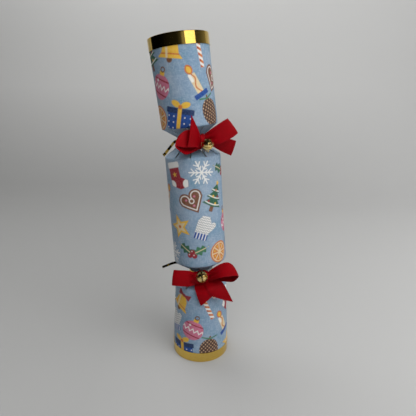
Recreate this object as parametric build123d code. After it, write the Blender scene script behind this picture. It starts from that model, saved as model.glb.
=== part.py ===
from build123d import *
import math
import os

"""A Christmas cracker standing on one end: card tubes in printed paper, slit necks, ribbon bows with bells.

Millimetres and degrees. The lower rim stands on z = 0, the front faces -Y and the cracker leans towards -X.
"""

# Card tubes and the printed paper round them
tube_radius = 25.5
barrel_length = 102.0
handle_length = 75.0
neck_length = 26.0
lower_flare = 2.4
upper_flare = 0.5
barrel_lean = -4.16
upper_lean = -7.6
paper_wall = 0.5
liner_wall = 0.7
paste_gap = 0.1
lap_width = 10.0
lap_wall = 0.3

# Foil bands folded over the two rims
band_height = 10.0
band_wall = 0.35
band_turn_in = 5.0

# Slit strips of the necks and the paper collars at the waists
strip_count = 11
strip_wall = 0.5
slit_width = 0.8
slit_margin = 1.5
waist_radius = 10.5
collar_wall = 0.9
collar_height = 4.0
fold_gap = 0.2

# Ribbon bows
ribbon_width = 16.0
ribbon_wall = 0.45
loop_pinch = 4.0
loop_gather = 7.0
loop_spread = 9.0
loop_root_radius = 0.9
loop_sink = 1.8
tail_pinch = 2.6
tail_gather = 7.0
tail_spread = 9.0
knot_radius = 4.8
knot_wall = 0.5
knot_width = 11.0
knot_clear = 1.7
ribbon_gap = 0.3

# Foil twist ties
tie_width = 2.5
tie_wall = 0.4
tie_gap = 0.3

# Jingle bells
bell_radius = 5.0
bell_wall = 0.4
crimp_reach = 0.35
crimp_height = 1.2
seam_gap = 0.06
slot_width = 1.0
slot_spread = 55.0
slot_hole_radius = 0.9
shank_radius = 1.9
wire_radius = 0.4
staple_wire_radius = 0.35
staple_width = 4.0
staple_gap = 0.25
pellet_radius = 1.7
pellet_gap = 0.3
seat_gap = 0.05

# Snap through the middle
snap_width = 6.0
snap_card = 0.4
snap_gap = 0.8
snap_overlap = 30.0
snap_reach = 62.0
snap_bend = 3.0
charge_wall = 0.3
charge_length = 12.0
snap_sleeve_wall = 0.2
snap_sleeve_length = 34.0
snap_clear = 0.1

# What the barrel holds
top_radius = 14.0
top_rim = 5.0
top_chamfer = 1.5
top_peg_radius = 2.8
top_peg_tip = 1.0
top_stem_radius = 2.2
top_stem_length = 14.0
content_gap = 0.3
crown_radius = 8.0
crown_turns = 4
crown_height = 60.0
motto_radius = 4.0
motto_turns = 3
motto_height = 46.0
sheet_wall = 0.35

# How the two bows are tied: angles in the bow's own plane, seen from the front
lower_bow = {
    "swivel": 3.0,
    "loops": [
        {"angle": 180.0, "roll": 8.0, "lift": 14.0, "length": 27.0, "depth": 10.0},
        {"angle": 14.0, "roll": -36.0, "lift": 24.0, "length": 37.5, "depth": 11.5},
    ],
    "tails": [
        {"angle": -76.0, "length": 25.5, "flat": 3.4, "over": 4.6, "slope": 1.75, "slant": -10.5},
        {"angle": -45.0, "length": 37.5, "flat": 4.6, "over": 4.6, "slope": 2.1, "slant": 24.0},
    ],
    "tie_heading": 157.0,
    "tie_path": [(27.0, 2.5), (42.0, -4.0)],
    "staple_angle": 30.0,
    "staple_lift": 2.2,
    "bell_tilt": 24.0,
}
upper_bow = {
    "swivel": 27.0,
    "loops": [
        {"angle": 184.0, "roll": 26.0, "lift": 22.0, "length": 26.0, "depth": 11.0},
        {"angle": 20.0, "roll": -12.0, "lift": 30.0, "length": 32.0, "depth": 8.0},
    ],
    "tails": [
        {"angle": 130.0, "length": 25.0, "flat": 3.6, "over": 4.6, "slope": 1.75, "slant": -14.0},
        {"angle": -14.0, "length": 36.0, "flat": 6.4, "over": -4.5, "slope": 1.5, "slant": 3.0},
    ],
    "tie_heading": 128.0,
    "tie_path": [(18.0, -1.5), (30.5, -14.0)],
    "staple_angle": -44.0,
    "staple_lift": 6.4,
    "bell_tilt": 60.0,
}

# Sizes that follow from the driving dimensions
crease_height = neck_length / 2
collar_half = collar_height / 2
neck_tilt = math.radians(max(abs(barrel_lean), abs(upper_lean - barrel_lean)))
strip_foot = collar_half + waist_radius * math.sin(neck_tilt) + fold_gap
facet_share = math.cos(math.pi / strip_count)
strip_slope = (tube_radius - waist_radius) / (crease_height - strip_foot)
strip_inset = strip_wall * math.hypot(1, strip_slope)
paper_inner = tube_radius - paper_wall
liner_outer = paper_inner - paste_gap
liner_inner = liner_outer - liner_wall
collar_inner = waist_radius - collar_wall
barrel_span = barrel_length + neck_length

# Frames of the waists: z runs away from the waist into the tube, the seam stays at the back
lower_waist = Pos(0, 0, handle_length + crease_height)
upper_waist = lower_waist * Rot(0, barrel_lean, 0) * Pos(0, 0, barrel_span)
upper_origin = Pos(*upper_waist.position)
lower_handle_frame = lower_waist * Rot(0, 180, 0)
barrel_foot_frame = lower_waist * Rot(0, barrel_lean, 0)
barrel_head_frame = upper_waist * Rot(0, 180, 0)
upper_handle_frame = upper_origin * Rot(0, upper_lean, 0)


def turned(outline, arc=360):
    """A solid turned about Z from an outline of (radius, height) points."""
    return revolve(Plane.XZ * make_face(Polyline(*outline, close=True)), Axis.Z, arc)


def height_inside(reach):
    """Height above the waist at which the inner faces of the neck strips stand at a reach from the axis."""
    return strip_foot + ((reach + strip_inset) / facet_share - waist_radius) / strip_slope


def tube_wall(low, high, flare, outer, wall):
    """A tube that starts straight at the crease and opens by its flare up to the foot of the band."""
    band_foot = crease_height + handle_length - band_height
    outside = [(outer, low), (outer + flare, band_foot), (outer + flare, high)]
    inside = [(radius - wall, height) for radius, height in reversed(outside)]
    return turned(outside + inside)


def lap(low, high, flare):
    """The glued overlap of the printed paper, a thin flap along the back."""
    sweep = math.degrees(lap_width / tube_radius)
    outline = [(paper_inner, low), (tube_radius + lap_wall, low), (tube_radius + flare + lap_wall, high),
               (paper_inner + flare, high)]
    return Rot(0, 0, 90 - sweep / 2) * turned(outline, sweep)


def handle_sleeve(flare):
    """Printed paper of a handle, with its lap stopping short of the band."""
    far = crease_height + handle_length - band_wall - paste_gap
    band_foot = crease_height + handle_length - band_height
    wall = tube_wall(crease_height, far, flare, tube_radius, paper_wall)
    return wall + lap(crease_height, band_foot - paste_gap, flare)


def handle_liner(flare):
    """Card tube inside a handle's paper."""
    far = crease_height + handle_length - band_wall - paste_gap
    return tube_wall(crease_height, far, flare, liner_outer, liner_wall)


def end_band(flare):
    """Foil band in a U-section: up the outside, across the rim and down the inside."""
    rim = crease_height + handle_length
    outer = tube_radius + flare + paste_gap + band_wall
    inner = liner_inner + flare - paste_gap - band_wall
    outline = [(outer, rim - band_height), (outer, rim), (inner, rim), (inner, rim - band_turn_in),
               (inner + band_wall, rim - band_turn_in), (inner + band_wall, rim - band_wall),
               (outer - band_wall, rim - band_wall), (outer - band_wall, rim - band_height)]
    return turned(outline)


def barrel_sleeve():
    """Printed paper of the barrel with its lap at the back."""
    outline = [(tube_radius, crease_height), (tube_radius, crease_height + barrel_length),
               (paper_inner, crease_height + barrel_length), (paper_inner, crease_height)]
    return turned(outline) + lap(crease_height, crease_height + barrel_length, 0)


def barrel_liner():
    """Card tube of the barrel."""
    outline = [(liner_outer, crease_height), (liner_outer, crease_height + barrel_length),
               (liner_inner, crease_height + barrel_length), (liner_inner, crease_height)]
    return turned(outline)


def neck_strips():
    """Half a neck: flat facets drawn in from the crease to the waist, with a slit at each corner."""
    top = crease_height - paste_gap
    top_radius_outer = waist_radius + strip_slope * (top - strip_foot)
    corner_inset = strip_inset / facet_share

    def facets(inset):
        foot = Pos(0, 0, strip_foot) * RegularPolygon(waist_radius - inset, strip_count, rotation=-90)
        head = Pos(0, 0, top) * RegularPolygon(top_radius_outer - inset, strip_count, rotation=-90)
        return loft([foot, head], ruled=True)

    slit_low = strip_foot + slit_margin
    slit_high = top - slit_margin / 2
    slit = Pos(0, 0, (slit_low + slit_high) / 2) * Box(tube_radius, slit_width, slit_high - slit_low)
    slits = [spot * slit for spot in PolarLocations(tube_radius / 2, strip_count, start_angle=-90)]
    return facets(0) - facets(corner_inset) - slits


def waist_collar():
    """The ring of pressed paper at the waist, which the tie is wound on."""
    outline = [(waist_radius, -collar_half), (waist_radius, collar_half),
               (collar_inner, collar_half), (collar_inner, -collar_half)]
    return turned(outline)


def chord_inside(radius):
    """How far back a flat strip of the snap's width can lie inside a round wall."""
    return math.sqrt(radius ** 2 - (snap_width / 2) ** 2)


snap_wall_y = chord_inside(liner_inner) - snap_gap - snap_card / 2
snap_waist_y = chord_inside(collar_inner) - snap_gap / 2 - snap_card / 2
snap_layer = snap_card + charge_wall + 2 * snap_clear


def snap_leg(reach, inset):
    """Half a snap strip: flat at the waist, along the neck and then up the tube's wall to its reach."""
    wall_y = snap_wall_y - inset
    slant = snap_gap + snap_card / 2 + inset
    route = [(snap_waist_y, -snap_card), (snap_waist_y, height_inside(snap_waist_y + slant)),
             (wall_y, height_inside(wall_y + slant)), (wall_y, reach)]
    band = trace(FilletPolyline(*route, radius=snap_bend), snap_card)
    return extrude(Plane.YZ * band, snap_width / 2, both=True)


def snap_strip(handle_frame, barrel_frame, inset):
    """One card strip, from inside a handle through the waist to past the middle of the barrel."""
    in_barrel = (barrel_span + snap_overlap) / 2
    in_handle = crease_height + snap_reach
    return handle_frame * snap_leg(in_handle, 0) + barrel_frame * snap_leg(in_barrel, inset)


def snap_charge():
    """Dab of charge between the two strips, half way up the barrel."""
    middle_y = snap_wall_y - snap_layer / 2
    return Pos(0, middle_y, barrel_span / 2) * Box(snap_width, charge_wall, charge_length)


def snap_sleeve():
    """Flat paper tube over the overlap of the two strips."""
    middle_y = snap_wall_y - snap_layer / 2
    hole_width = snap_width + 2 * snap_clear
    hole_depth = snap_layer + snap_card + 2 * snap_clear
    outside = Box(hole_width + 2 * snap_sleeve_wall, hole_depth + 2 * snap_sleeve_wall, snap_sleeve_length)
    return Pos(0, middle_y, barrel_span / 2) * (outside - Box(hole_width, hole_depth, snap_sleeve_length))


gift_shift = snap_gap + snap_card
gift_seat = height_inside(top_radius + gift_shift + content_gap)
gift_shelf = gift_seat + top_rim + top_chamfer
gift_spot = Pos(0, -gift_shift, 0)


def spinning_top():
    """Turned wooden top, its rim seated in the funnel of the lower neck."""
    peg_height = gift_seat - top_chamfer
    outline = [(0, top_peg_tip), (top_peg_radius, peg_height), (top_radius, gift_seat),
               (top_radius, gift_seat + top_rim), (top_radius - top_chamfer, gift_shelf),
               (top_stem_radius, gift_shelf), (top_stem_radius, gift_shelf + top_stem_length),
               (0, gift_shelf + top_stem_length + top_stem_radius / 2)]
    return gift_spot * turned(outline)


def rolled_sheet(radius, turns, height):
    """A sheet rolled up: half rings about two centres, so that each turn lies outside the one before."""
    pitch = 2 * sheet_wall
    step = pitch / 2
    first = radius - 2 * turns * step
    half_turns = []
    for count in range(2 * turns):
        inner = first + count * step
        ring = Circle(inner + sheet_wall) - Circle(inner)
        side = 1 if count % 2 == 0 else -1
        half = ring & (Pos(0, side * radius) * Rectangle(4 * radius, 2 * radius))
        half_turns.append(Pos(0 if side == 1 else step, 0) * half)
    spiral = half_turns[0].fuse(*half_turns[1:])
    return Pos(0, 0, gift_shelf + content_gap) * extrude(spiral, height)


def paper_crown():
    """Tissue crown, folded and rolled, standing on the top's shoulder beside its stem."""
    return gift_spot * Pos(-top_stem_radius - content_gap - crown_radius - sheet_wall, 0, 0) * rolled_sheet(
        crown_radius, crown_turns, crown_height)


def motto_slip():
    """Rolled slip with the motto, on the other side of the stem."""
    return gift_spot * Pos(top_stem_radius + content_gap + motto_radius + sheet_wall, 0, 0) * rolled_sheet(
        motto_radius, motto_turns, motto_height)


# Distances of the bow's layers from the neck's axis, outwards from the tie
tie_inner = waist_radius + tie_gap
tie_outer = tie_inner + tie_wall
tail_reach = tie_outer + ribbon_gap + ribbon_wall / 2
knot_reach = tail_reach + ribbon_wall / 2 + knot_clear + knot_radius


def ribbon_outline(pinch_width, gather, spread, length, slant):
    """Front outline of a ribbon end: pinched up to the end of its gather, then spread, cut off at a slant.

    A slant above nought shortens the right-hand edge, one below nought the left-hand edge.
    """
    pinch = pinch_width / 2
    edge = ribbon_width / 2
    upper = [(-pinch, pinch), (gather, pinch), (gather + spread, edge), (gather + spread + length, edge)]
    lower = [(along, -across) for along, across in reversed(upper)]
    gathered = make_face(Polyline(*upper, *lower, close=True))
    right_end = length - max(slant, 0)
    left_end = length + min(slant, 0)
    corners = [(-pinch, -edge), (right_end, -edge), (left_end, edge), (-pinch, edge)]
    cut = make_face(Polyline(*corners, close=True))
    return Plane.XZ * (gathered & cut)


def ribbon_loop(angle, roll, lift, length, depth):
    """A teardrop of ribbon that opens from the knot, leaning outwards from the neck."""
    end_radius = depth / 2
    end_spot = Pos(length - end_radius, 0)

    def teardrop(inset):
        root = Circle(loop_root_radius - inset)
        end = end_spot * Circle(end_radius - inset)
        return make_hull([*root.edges(), *end.edges()])

    wall = extrude(teardrop(0) - teardrop(ribbon_wall), ribbon_width / 2, both=True)
    outline = ribbon_outline(loop_pinch, loop_gather, loop_spread, length + depth, 0)
    front = extrude(outline, depth, both=True)
    direction = Rot(0, -angle, 0) * Rot(0, 0, -lift) * Rot(roll, 0, 0)
    return Pos(0, loop_sink - knot_reach, 0) * direction * (wall & front)


def ribbon_tail(angle, length, flat, over, slope, slant):
    """A tail that lies behind the knot, climbs outwards over the shoulder and ends in a slant cut."""
    rise = tube_radius + over - tail_reach
    far = flat + rise / slope
    route = [(-tail_pinch / 2, 0), (flat, 0), (far, -rise), (length, -rise - ribbon_gap)]
    side = trace(FilletPolyline(*route, radius=tail_pinch / 2), ribbon_wall)
    wall = extrude(side, ribbon_width / 2, both=True)
    outline = ribbon_outline(tail_pinch, tail_gather, tail_spread, length - ribbon_wall, slant)
    return Pos(0, -tail_reach, 0) * Rot(0, -angle, 0) * (wall & extrude(outline, 2 * rise, both=True))


def bow_loops(bow):
    """Both loops of a bow, one ribbon gathered in the knot."""
    left, right = [ribbon_loop(**loop) for loop in bow["loops"]]
    return left + right


def bow_tails(bow):
    """Both tails of a bow, one ribbon folded behind the knot."""
    left, right = [ribbon_tail(**tail) for tail in bow["tails"]]
    return left + right


def knot_spot(bow):
    """Frame of the knot: x along the run of the two loops, y towards the neck."""
    left, right = [loop["angle"] for loop in bow["loops"]]
    return Pos(0, -knot_reach, 0) * Rot(0, (180 - left - right) / 2, 0)


def bow_knot(bow):
    """Ribbon wound once round the gathered middle, square to the run of the loops."""
    band = Cylinder(knot_radius, knot_width) - Cylinder(knot_radius - knot_wall, knot_width)
    return knot_spot(bow) * Rot(0, 90, 0) * band


def twist_tie(bow):
    """Foil tie: a flat ring round the collar and one flat end that sticks out."""
    ring = turned([(tie_inner, -tie_width / 2), (tie_outer, -tie_width / 2),
                   (tie_outer, tie_width / 2), (tie_inner, tie_width / 2)])
    root = tie_outer + tie_width / 2
    route = FilletPolyline((waist_radius, 0), (root, 0), *bow["tie_path"], radius=tie_width)
    end = extrude(Plane.XZ * trace(route, tie_wall), tie_width / 2, both=True)
    return ring + (Rot(0, 0, bow["tie_heading"]) * end - Cylinder(tie_inner, neck_length))


def bell_shell(inside_half):
    """The hollow ball of a bell, cut to the half on one side of its seam."""
    ball = Sphere(bell_radius) - Sphere(bell_radius - bell_wall)
    half = Pos(0, 0, inside_half * (bell_radius + seam_gap / 2)) * Box(*[2 * bell_radius] * 3)
    return ball & half


def bell_crown():
    """Plain half, with the crimp at the seam that holds the slotted half."""
    lip_inner = bell_radius + seam_gap
    lip_outer = bell_radius + crimp_reach
    low = -crimp_height / 2
    lip = [(bell_radius - bell_wall, low), (lip_outer, low), (lip_outer, -low), (lip_inner, -low),
           (lip_inner, -seam_gap / 2), (bell_radius - bell_wall, -seam_gap / 2)]
    return bell_shell(-1) + turned(lip)


def bell_bowl():
    """Slotted half: two slots that cross at the pole, with a round hole at each end."""
    slot_reach = bell_radius * math.sin(math.radians(slot_spread))
    slot_floor = bell_radius * math.cos(math.radians(slot_spread))
    slot = Pos(0, 0, slot_floor + bell_radius / 2) * Box(2 * slot_reach, slot_width, bell_radius)
    hole = Rot(0, slot_spread, 0) * Pos(0, 0, bell_radius) * Cylinder(slot_hole_radius, bell_radius)
    cuts = [slot, Rot(0, 0, 90) * slot] + [Rot(0, 0, 90 * turn) * hole for turn in range(4)]
    return bell_shell(1) - cuts


shank_drop = bell_radius + shank_radius / 2
bell_drop = shank_drop + shank_radius - wire_radius - staple_wire_radius - staple_gap


def bell_shank():
    """Wire loop on the bell's plain pole."""
    loop = Pos(0, 0, -shank_drop) * Rot(0, 90, 0) * Torus(shank_radius, wire_radius)
    return loop - Sphere(bell_radius + seat_gap)


def bell_pellet():
    """The loose ball that rings, lying on the floor of the shell."""
    return Sphere(pellet_radius)


def staple_spot(bow):
    """Frame of the staple: x along its wire, z pointing away from the knot."""
    out = Rot(90 - bow["staple_angle"], 0, 0)
    return knot_spot(bow) * out * Pos(0, 0, knot_radius + bow["staple_lift"])


def bell_spot(bow):
    """Frame of the bell: its centre, z pointing out through its slots."""
    return staple_spot(bow) * Rot(bow["staple_angle"] - bow["bell_tilt"], 0, 0) * Pos(0, 0, bell_drop)


def bell_staple(bow):
    """Wire staple through the knot, whose bridge the bell's loop hangs on."""
    half = staple_width / 2
    leg = bow["staple_lift"] - seat_gap
    bridge = Rot(0, 90, 0) * Cylinder(staple_wire_radius, staple_width + 2 * staple_wire_radius)
    legs = [Pos(side * half, 0, -leg / 2) * Cylinder(staple_wire_radius, leg) for side in (-1, 1)]
    return staple_spot(bow) * (bridge + legs[0] + legs[1])


def pellet_spot(bow, frame):
    """Where the pellet lies: straight down from the bell's centre, on the inside of the shell."""
    centre = (frame * bell_spot(bow)).position
    drop = bell_radius - bell_wall - pellet_radius - pellet_gap
    return Pos(centre.X, centre.Y, centre.Z - drop)


# The pieces by name, each in its place
lower_bow_frame = lower_waist * Rot(0, 0, lower_bow["swivel"])
upper_bow_frame = upper_waist * Rot(0, 0, upper_bow["swivel"])

pieces = {
    "lower_handle_sleeve": lower_handle_frame * handle_sleeve(lower_flare),
    "lower_handle_liner": lower_handle_frame * handle_liner(lower_flare),
    "lower_end_band": lower_handle_frame * end_band(lower_flare),
    "lower_neck_handle_strips": lower_handle_frame * neck_strips(),
    "lower_waist_collar": lower_waist * waist_collar(),
    "lower_neck_barrel_strips": barrel_foot_frame * neck_strips(),
    "barrel_sleeve": barrel_foot_frame * barrel_sleeve(),
    "barrel_liner": barrel_foot_frame * barrel_liner(),
    "upper_neck_barrel_strips": barrel_head_frame * neck_strips(),
    "upper_waist_collar": upper_waist * waist_collar(),
    "upper_neck_handle_strips": upper_handle_frame * neck_strips(),
    "upper_handle_sleeve": upper_handle_frame * handle_sleeve(upper_flare),
    "upper_handle_liner": upper_handle_frame * handle_liner(upper_flare),
    "upper_end_band": upper_handle_frame * end_band(upper_flare),
    "snap_lower_strip": snap_strip(lower_handle_frame, barrel_foot_frame, 0),
    "snap_upper_strip": snap_strip(upper_handle_frame, barrel_head_frame, snap_layer),
    "snap_charge": barrel_foot_frame * snap_charge(),
    "snap_sleeve": barrel_foot_frame * snap_sleeve(),
    "spinning_top": barrel_foot_frame * spinning_top(),
    "paper_crown": barrel_foot_frame * paper_crown(),
    "motto_slip": barrel_foot_frame * motto_slip(),
}
for name, bow, frame in (("lower", lower_bow, lower_bow_frame), ("upper", upper_bow, upper_bow_frame)):
    bell_frame = frame * bell_spot(bow)
    pieces[name + "_bow_loops"] = frame * bow_loops(bow)
    pieces[name + "_bow_tails"] = frame * bow_tails(bow)
    pieces[name + "_bow_knot"] = frame * bow_knot(bow)
    pieces[name + "_twist_tie"] = frame * twist_tie(bow)
    pieces[name + "_bell_staple"] = frame * bell_staple(bow)
    pieces[name + "_bell_shank"] = bell_frame * bell_shank()
    pieces[name + "_bell_crown"] = bell_frame * bell_crown()
    pieces[name + "_bell_bowl"] = bell_frame * bell_bowl()
    pieces[name + "_bell_pellet"] = pellet_spot(bow, frame) * bell_pellet()

os.makedirs("parts", exist_ok=True)
for name, piece in pieces.items():
    export_step(piece, "parts/" + name + ".step")
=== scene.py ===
"""A Christmas cracker on one end: printed paper, gold foil, red ribbon and jingle bells over its frame."""
import math

import bpy
import numpy as np
from mathutils import Matrix


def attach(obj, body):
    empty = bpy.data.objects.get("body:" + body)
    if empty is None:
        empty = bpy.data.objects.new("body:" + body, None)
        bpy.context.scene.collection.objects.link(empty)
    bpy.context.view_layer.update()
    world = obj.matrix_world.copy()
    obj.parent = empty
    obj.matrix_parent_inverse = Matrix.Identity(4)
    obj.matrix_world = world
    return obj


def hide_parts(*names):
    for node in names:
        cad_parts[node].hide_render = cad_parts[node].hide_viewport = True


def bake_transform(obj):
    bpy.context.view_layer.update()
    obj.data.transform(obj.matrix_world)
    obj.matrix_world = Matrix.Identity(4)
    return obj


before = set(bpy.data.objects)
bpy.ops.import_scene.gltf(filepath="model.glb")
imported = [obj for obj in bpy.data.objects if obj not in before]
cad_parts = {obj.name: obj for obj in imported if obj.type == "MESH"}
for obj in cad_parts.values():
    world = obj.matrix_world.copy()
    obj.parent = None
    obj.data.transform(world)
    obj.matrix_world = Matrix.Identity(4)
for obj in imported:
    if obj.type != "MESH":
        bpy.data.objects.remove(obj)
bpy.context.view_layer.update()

# Millimetres and degrees, as on the drawing; meshes are written in metres
MM = 0.001

# Tubes and necks
tube_radius = 25.5
barrel_length = 102.0
handle_length = 75.0
crease_height = 13.0
rim_height = crease_height + handle_length
rim_gap = 0.5
lower_flare = 2.4
upper_flare = 0.5
barrel_lean = -4.16
upper_lean = -7.6
paper_wall = 0.45
fold_depth = 0.5
fold_reach = 0.45
waist_radius = 10.6
collar_half = 2.0

# Strips of the necks: (radius, height) corners of the curve that they follow, and their slits
strip_count = 11
strip_turn = -3.5
strip_wall = 0.35
strip_pucker = 0.2
strip_lift = 0.25
strip_path = [(tube_radius - paper_wall, crease_height), (23.7, 11.3), (13.2, 5.2),
              (waist_radius, collar_half - 0.4)]
slit_width = 1.3
slit_spread = 0.3

# Foil bands at the rims
band_height = 10.0
band_proud = 0.45
band_depth = 2.2
band_bend = 0.5
foil_wall = 0.3

# Ribbon bows and foil ties
ribbon_width = 16.0
ribbon_wall = 0.4
loop_pleat = 0.55
loop_crown = 1.6
tail_crown = 0.8
knot_pleat = 0.45
knot_reach = 18.45
lower_bow_turn = 3.0
upper_bow_turn = 27.0
tie_width = 2.4
tie_wall = 0.3
tie_gap = 0.95
tie_crinkle = 0.12

# Snap strips
snap_width = 6.0
snap_card = 0.4
snap_waist = 8.0
snap_wall = 22.9
snap_layer = 0.9
handle_reach = crease_height + 62.0
barrel_reach = (barrel_length + 2 * crease_height + 30.0) / 2

# Grids: spacing of the printed points, rows and columns, and the widest fold that is shaded smooth
print_step = 0.44
hidden_step = 20
rim_rows = 6
strip_rows, strip_columns = 34, 25
band_columns = 256
loop_rows, tail_rows, knot_rows, ribbon_columns = 96, 60, 97, 33
tie_rows, tie_columns, ring_columns = 60, 7, 120
leg_rows, leg_columns = 120, 5
sharp_fold = 50.0

# Frames: a turn and an origin, so that a point goes to turn @ point + origin
X_AXIS, Y_AXIS, Z_AXIS = range(3)


def turn_about(axis, degrees):
    """Matrix of a turn about an axis: cosines and sines in the plane of the two axes that follow it."""
    first, second = (axis + 1) % 3, (axis + 2) % 3
    turn = np.eye(3)
    turn[first, first] = turn[second, second] = math.cos(math.radians(degrees))
    turn[second, first] = math.sin(math.radians(degrees))
    turn[first, second] = -turn[second, first]
    return turn


def placed(points, spot):
    """Points carried from a frame's own axes into the cracker's: turned, then shifted."""
    turn, origin = spot
    return points @ turn.T + origin


def inside(spot, turn, shift=(0.0, 0.0, 0.0)):
    """A frame given within another frame: shifted along its axes, then turned."""
    return spot[0] @ turn, spot[0] @ np.array(shift) + spot[1]


lower_waist = (np.eye(3), np.array([0.0, 0.0, rim_height]))
barrel_foot = inside(lower_waist, turn_about(Y_AXIS, barrel_lean))
upper_waist = inside(barrel_foot, np.eye(3), (0, 0, barrel_length + 2 * crease_height))
upper_handle = (turn_about(Y_AXIS, upper_lean), upper_waist[1])
lower_bow_spot = inside(lower_waist, turn_about(Z_AXIS, lower_bow_turn))
upper_bow_spot = inside(upper_waist, turn_about(Z_AXIS, upper_bow_turn))


# Meshes from grids of points
def smooth_step(low, high, x):
    """Rises from nought at low to one at high, level at both ends: t squared times three minus two t."""
    t = np.clip((x - low) / (high - low), 0, 1)
    return t * t * (3 - 2 * t)


def grid_quads(rows, columns, ring=False):
    """Corner numbers of the quads between neighbouring rows and columns.

    A ring also joins the last column to the first.
    """
    last = columns if ring else columns - 1
    row, column = np.meshgrid(np.arange(rows - 1), np.arange(last), indexing="ij")
    here, below = row * columns, (row + 1) * columns
    beside = (column + 1) % columns
    return np.stack([here + column, here + beside, below + beside, below + column], -1).reshape(-1, 4)


def make_piece(name, points, quads, finish, body=None, colours=None, uv=None):
    """A mesh object from points in millimetres, smooth-shaded, with a finish, riding on a body."""
    mesh = bpy.data.meshes.new(name)
    points = np.asarray(points, float).reshape(-1, 3) * MM
    mesh.vertices.add(len(points))
    mesh.vertices.foreach_set("co", points.astype(np.float32).ravel())
    mesh.loops.add(quads.size)
    mesh.loops.foreach_set("vertex_index", quads.astype(np.int32).ravel())
    mesh.polygons.add(len(quads))
    mesh.polygons.foreach_set("loop_start", np.arange(0, quads.size, 4, dtype=np.int32))
    mesh.update(calc_edges=True)
    mesh.validate()
    mesh.polygons.foreach_set("use_smooth", np.ones(len(mesh.polygons), bool))
    if colours is not None:
        layer = mesh.attributes.new("print_ink_and_drape_glow", "FLOAT_COLOR", "POINT")
        layer.data.foreach_set("color", np.asarray(colours, np.float32).ravel())
    if uv is not None:
        corner = np.empty(len(mesh.loops), np.int32)
        mesh.loops.foreach_get("vertex_index", corner)
        layer = mesh.uv_layers.new(name="ribbon")
        layer.data.foreach_set("uv", np.asarray(uv, np.float32).reshape(-1, 2)[corner].ravel())
    mesh.set_sharp_from_angle(angle=math.radians(sharp_fold))
    mesh.materials.append(finish)
    piece = bpy.data.objects.new(name, mesh)
    bpy.context.scene.collection.objects.link(piece)
    if body is not None:
        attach(piece, body)
    return piece


def stands_for(node):
    """Hides the drawn part that a piece stands for."""
    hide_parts(node)


def grid_normals(points, ring=False):
    """Unit normals of a grid: the slope down the rows crossed with the slope along the columns."""
    if ring:
        along = np.roll(points, -1, 1) - np.roll(points, 1, 1)
    else:
        along = np.gradient(points, axis=1)
    down = np.gradient(points, axis=0)
    normals = np.cross(along, down)
    return normals / np.maximum(np.linalg.norm(normals, axis=-1, keepdims=True), 1e-9)


def sheet_faces(points, wall, ring=False, keep=None):
    """A grid thickened into a closed sheet: the grid on top, a copy one wall below, and quads round the rim.

    Columns run across the sheet and rows along it, seen from outside with the normal towards the eye.
    A hidden underside may keep only some rows, the first and the last among them.
    """
    below = points - wall * grid_normals(points, ring)
    if keep is not None:
        below = below[keep]
    rows, columns = points.shape[:2]
    count = rows * columns
    top = np.arange(count).reshape(rows, columns)
    under = count + np.arange(len(below) * columns).reshape(-1, columns)
    quads = [grid_quads(rows, columns, ring), grid_quads(len(below), columns, ring)[:, ::-1] + count]
    rims = [(top[0][::-1], under[0][::-1]), (top[-1], under[-1])]
    if ring:
        rims = [(np.append(rim, rim[0]), np.append(foot, foot[0])) for rim, foot in rims]
    else:
        rims += [(top[:, 0], under[:, 0]), (top[:, -1][::-1], under[:, -1][::-1])]
    for rim, foot in rims:
        quads.append(np.stack([rim[1:], rim[:-1], foot[:-1], foot[1:]], -1))
    return np.concatenate([points.reshape(-1, 3), below.reshape(-1, 3)]), np.concatenate(quads)


def joined(parts):
    """Closed sheets, each as points and quads, put into one mesh."""
    starts = np.cumsum([0] + [len(points) for points, _ in parts])
    quads = [corners + start for (_, corners), start in zip(parts, starts)]
    return np.concatenate([points for points, _ in parts]), np.concatenate(quads)


def round_points(azimuth, radius, height):
    """Points round an axis: azimuth counts from the front, -y, towards the right, +x."""
    return np.stack(np.broadcast_arrays(radius * np.sin(azimuth), -radius * np.cos(azimuth), height), -1)


# Finishes
black = (0.0, 0.0, 0.0, 1)
background_grey = (0.42, 0.42, 0.415, 1)


def new_finish(name, **sockets):
    """A material whose even values sit on its shader's own sockets."""
    finish = bpy.data.materials.new(name)
    finish.use_nodes = True
    shader = finish.node_tree.nodes["Principled BSDF"]
    for socket, value in sockets.items():
        shader.inputs[socket.replace("_", " ")].default_value = value
    return finish, finish.node_tree, shader


def add_node(tree, kind, links=None, **values):
    """A node with its settings, and links from other nodes' outputs to its inputs."""
    node = tree.nodes.new(kind)
    for key, value in values.items():
        setattr(node, key, value)
    for socket, source in (links or {}).items():
        if hasattr(source, "links"):
            tree.links.new(source, node.inputs[socket])
        else:
            node.inputs[socket].default_value = source
    return node


def noise(tree, coordinate, scale, detail, rough=0.55):
    """A noise texture's value on a coordinate."""
    links = {"Vector": coordinate, "Scale": scale, "Detail": detail, "Roughness": rough}
    return add_node(tree, "ShaderNodeTexNoise", links).outputs["Fac"]


def ramp(tree, value, stops):
    """A colour ramp with its stops as (place, colour)."""
    node = add_node(tree, "ShaderNodeValToRGB", {"Fac": value})
    while len(node.color_ramp.elements) < len(stops):
        node.color_ramp.elements.new(0.5)
    for element, (place, colour) in zip(node.color_ramp.elements, stops):
        element.position = place
        element.color = (*colour, 1)
    return node.outputs["Color"]


def mixed(tree, share, first, second, kind="MIX"):
    """One colour laid over another by a share."""
    links = {0: share, 6: first, 7: second}
    return add_node(tree, "ShaderNodeMix", links, data_type="RGBA", blend_type=kind).outputs[2]


def spread(tree, value, low, high, start=0.0, end=1.0, curve="LINEAR"):
    """A value from start to end spread from low to high."""
    links = {"Value": value, "From Min": start, "From Max": end, "To Min": low, "To Max": high}
    return add_node(tree, "ShaderNodeMapRange", links, interpolation_type=curve).outputs["Result"]


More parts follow.
